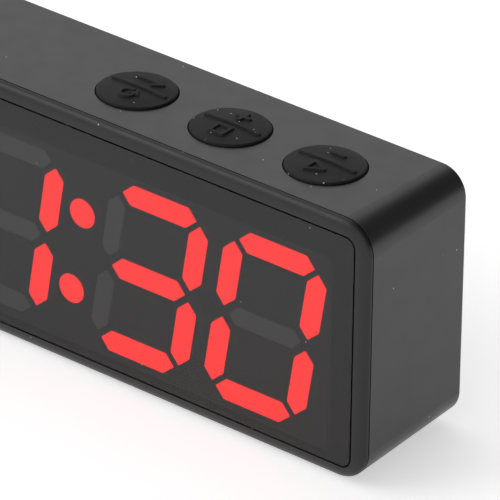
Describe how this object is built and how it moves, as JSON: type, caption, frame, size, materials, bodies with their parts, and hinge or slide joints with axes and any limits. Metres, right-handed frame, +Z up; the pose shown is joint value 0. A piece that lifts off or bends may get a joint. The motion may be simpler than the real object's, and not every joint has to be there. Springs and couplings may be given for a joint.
{
  "type": "gym round timer",
  "caption": "Rectangular interval timer with a drafted black case, tinted front lens, large red LED digits, round rubber top buttons and an end panel with a charging socket and power slide.",
  "frame": {"origin": "on the surface it stands on, under the middle of the case", "axes": "+X along the display to the reader's right, +Y from the display to the back, +Z up"},
  "size_m": [0.141, 0.0314, 0.0567],
  "materials": {
    "case": "fine moulded grain, satin black",
    "bezel": "smooth satin black",
    "lens": "smoke-tinted, polished",
    "foam_tape": "black foam tape",
    "display_block": "black face round the segments",
    "segment_lit": "translucent diffuser, lit red",
    "segment_unlit": "translucent diffuser, unlit",
    "circuit_board": "green solder mask",
    "led_chip": "LED chip",
    "screw_steel": "zinc plated",
    "screw_black": "black oxide",
    "chip_black": "moulded chip package",
    "capacitor_can": "capacitor can",
    "switch_plastic": "moulded switch plastic",
    "switch_steel": "nickel-plated sheet",
    "knob": "ribbed black plastic",
    "light_pipe": "clear light pipe",
    "battery_foil": "laminated pouch foil",
    "speaker_can": "speaker frame",
    "magnet_plate": "nickel-plated neodymium",
    "socket_white": "natural nylon",
    "ribbon": "flat flexible cable",
    "wire_red": "insulated wire",
    "wire_black": "insulated wire",
    "button_rubber": "moulded silicone rubber",
    "foot_rubber": "soft grey-black rubber"
  },
  "bodies": {
    "case": {"battery": "battery_foil", "battery_lead_negative": "wire_black", "battery_lead_positive": "wire_red", "battery_plug": "socket_white", "battery_socket": "socket_white", "battery_tape": "foam_tape", "button_board": "circuit_board", "button_board_screws": "screw_steel", "button_ribbon": "ribbon", "capacitors": "capacitor_can", "charge_led": "led_chip", "charging_chips": "chip_black", "colon_dots": "segment_lit", "corner_screws": "screw_black", "display_block": "display_block", "display_board": "circuit_board", "display_board_screws": "screw_steel", "display_driver": "chip_black", "feet": "foot_rubber", "front_bezel": "bezel", "holding_magnets": "magnet_plate", "housing": "case", "lens": "lens", "lens_tape": "foam_tape", "light_pipe": "light_pipe", "microcontroller": "chip_black", "minutes_lit": "segment_lit", "minutes_unlit": "segment_unlit", "port_board": "circuit_board", "port_board_screws": "screw_steel", "port_ribbon": "ribbon", "port_ribbon_sockets": "socket_white", "power_coil": "chip_black", "ribbon_sockets": "socket_white", "seconds_lit": "segment_lit", "seconds_unlit": "segment_unlit", "segment_leds": "led_chip", "slide_switch": "switch_steel", "speaker": "speaker_can", "speaker_gasket": "foam_tape", "speaker_lead_negative": "wire_black", "speaker_lead_positive": "wire_red", "speaker_plug": "socket_white", "speaker_socket": "socket_white", "switch_bodies": "switch_plastic", "tens_of_minutes_unlit": "segment_unlit", "tens_of_seconds_lit": "segment_lit", "tens_of_seconds_unlit": "segment_unlit", "usb_shell": "switch_steel", "usb_tongue": "switch_plastic"},
    "mode_button_body": {"mode_button": "button_rubber", "mode_switch_stem": "switch_plastic"},
    "reset_button_body": {"reset_button": "button_rubber", "reset_switch_stem": "switch_plastic"},
    "stop_button_body": {"stop_button": "button_rubber", "stop_switch_stem": "switch_plastic"},
    "start_button_body": {"start_button": "button_rubber", "start_switch_stem": "switch_plastic"},
    "power_knob_body": {"power_knob": "knob"}
  },
  "joints": [
    {"name": "mode_press", "type": "slide", "parent": "case", "child": "mode_button_body", "axis": [0, -0.0319, -0.9995], "range_m": [0, 0.0005], "stiffness_N_per_m": 1500, "springref_m": -0.0006},
    {"name": "reset_press", "type": "slide", "parent": "case", "child": "reset_button_body", "axis": [0, -0.0319, -0.9995], "range_m": [0, 0.0005], "stiffness_N_per_m": 1500, "springref_m": -0.0006},
    {"name": "stop_press", "type": "slide", "parent": "case", "child": "stop_button_body", "axis": [0, -0.0319, -0.9995], "range_m": [0, 0.0005], "stiffness_N_per_m": 1500, "springref_m": -0.0006},
    {"name": "start_press", "type": "slide", "parent": "case", "child": "start_button_body", "axis": [0, -0.0319, -0.9995], "range_m": [0, 0.0005], "stiffness_N_per_m": 1500, "springref_m": -0.0006},
    {"name": "power_slide", "type": "slide", "parent": "case", "child": "power_knob_body", "axis": [0, 0, 1], "range_m": [0, 0.002]}
  ]
}
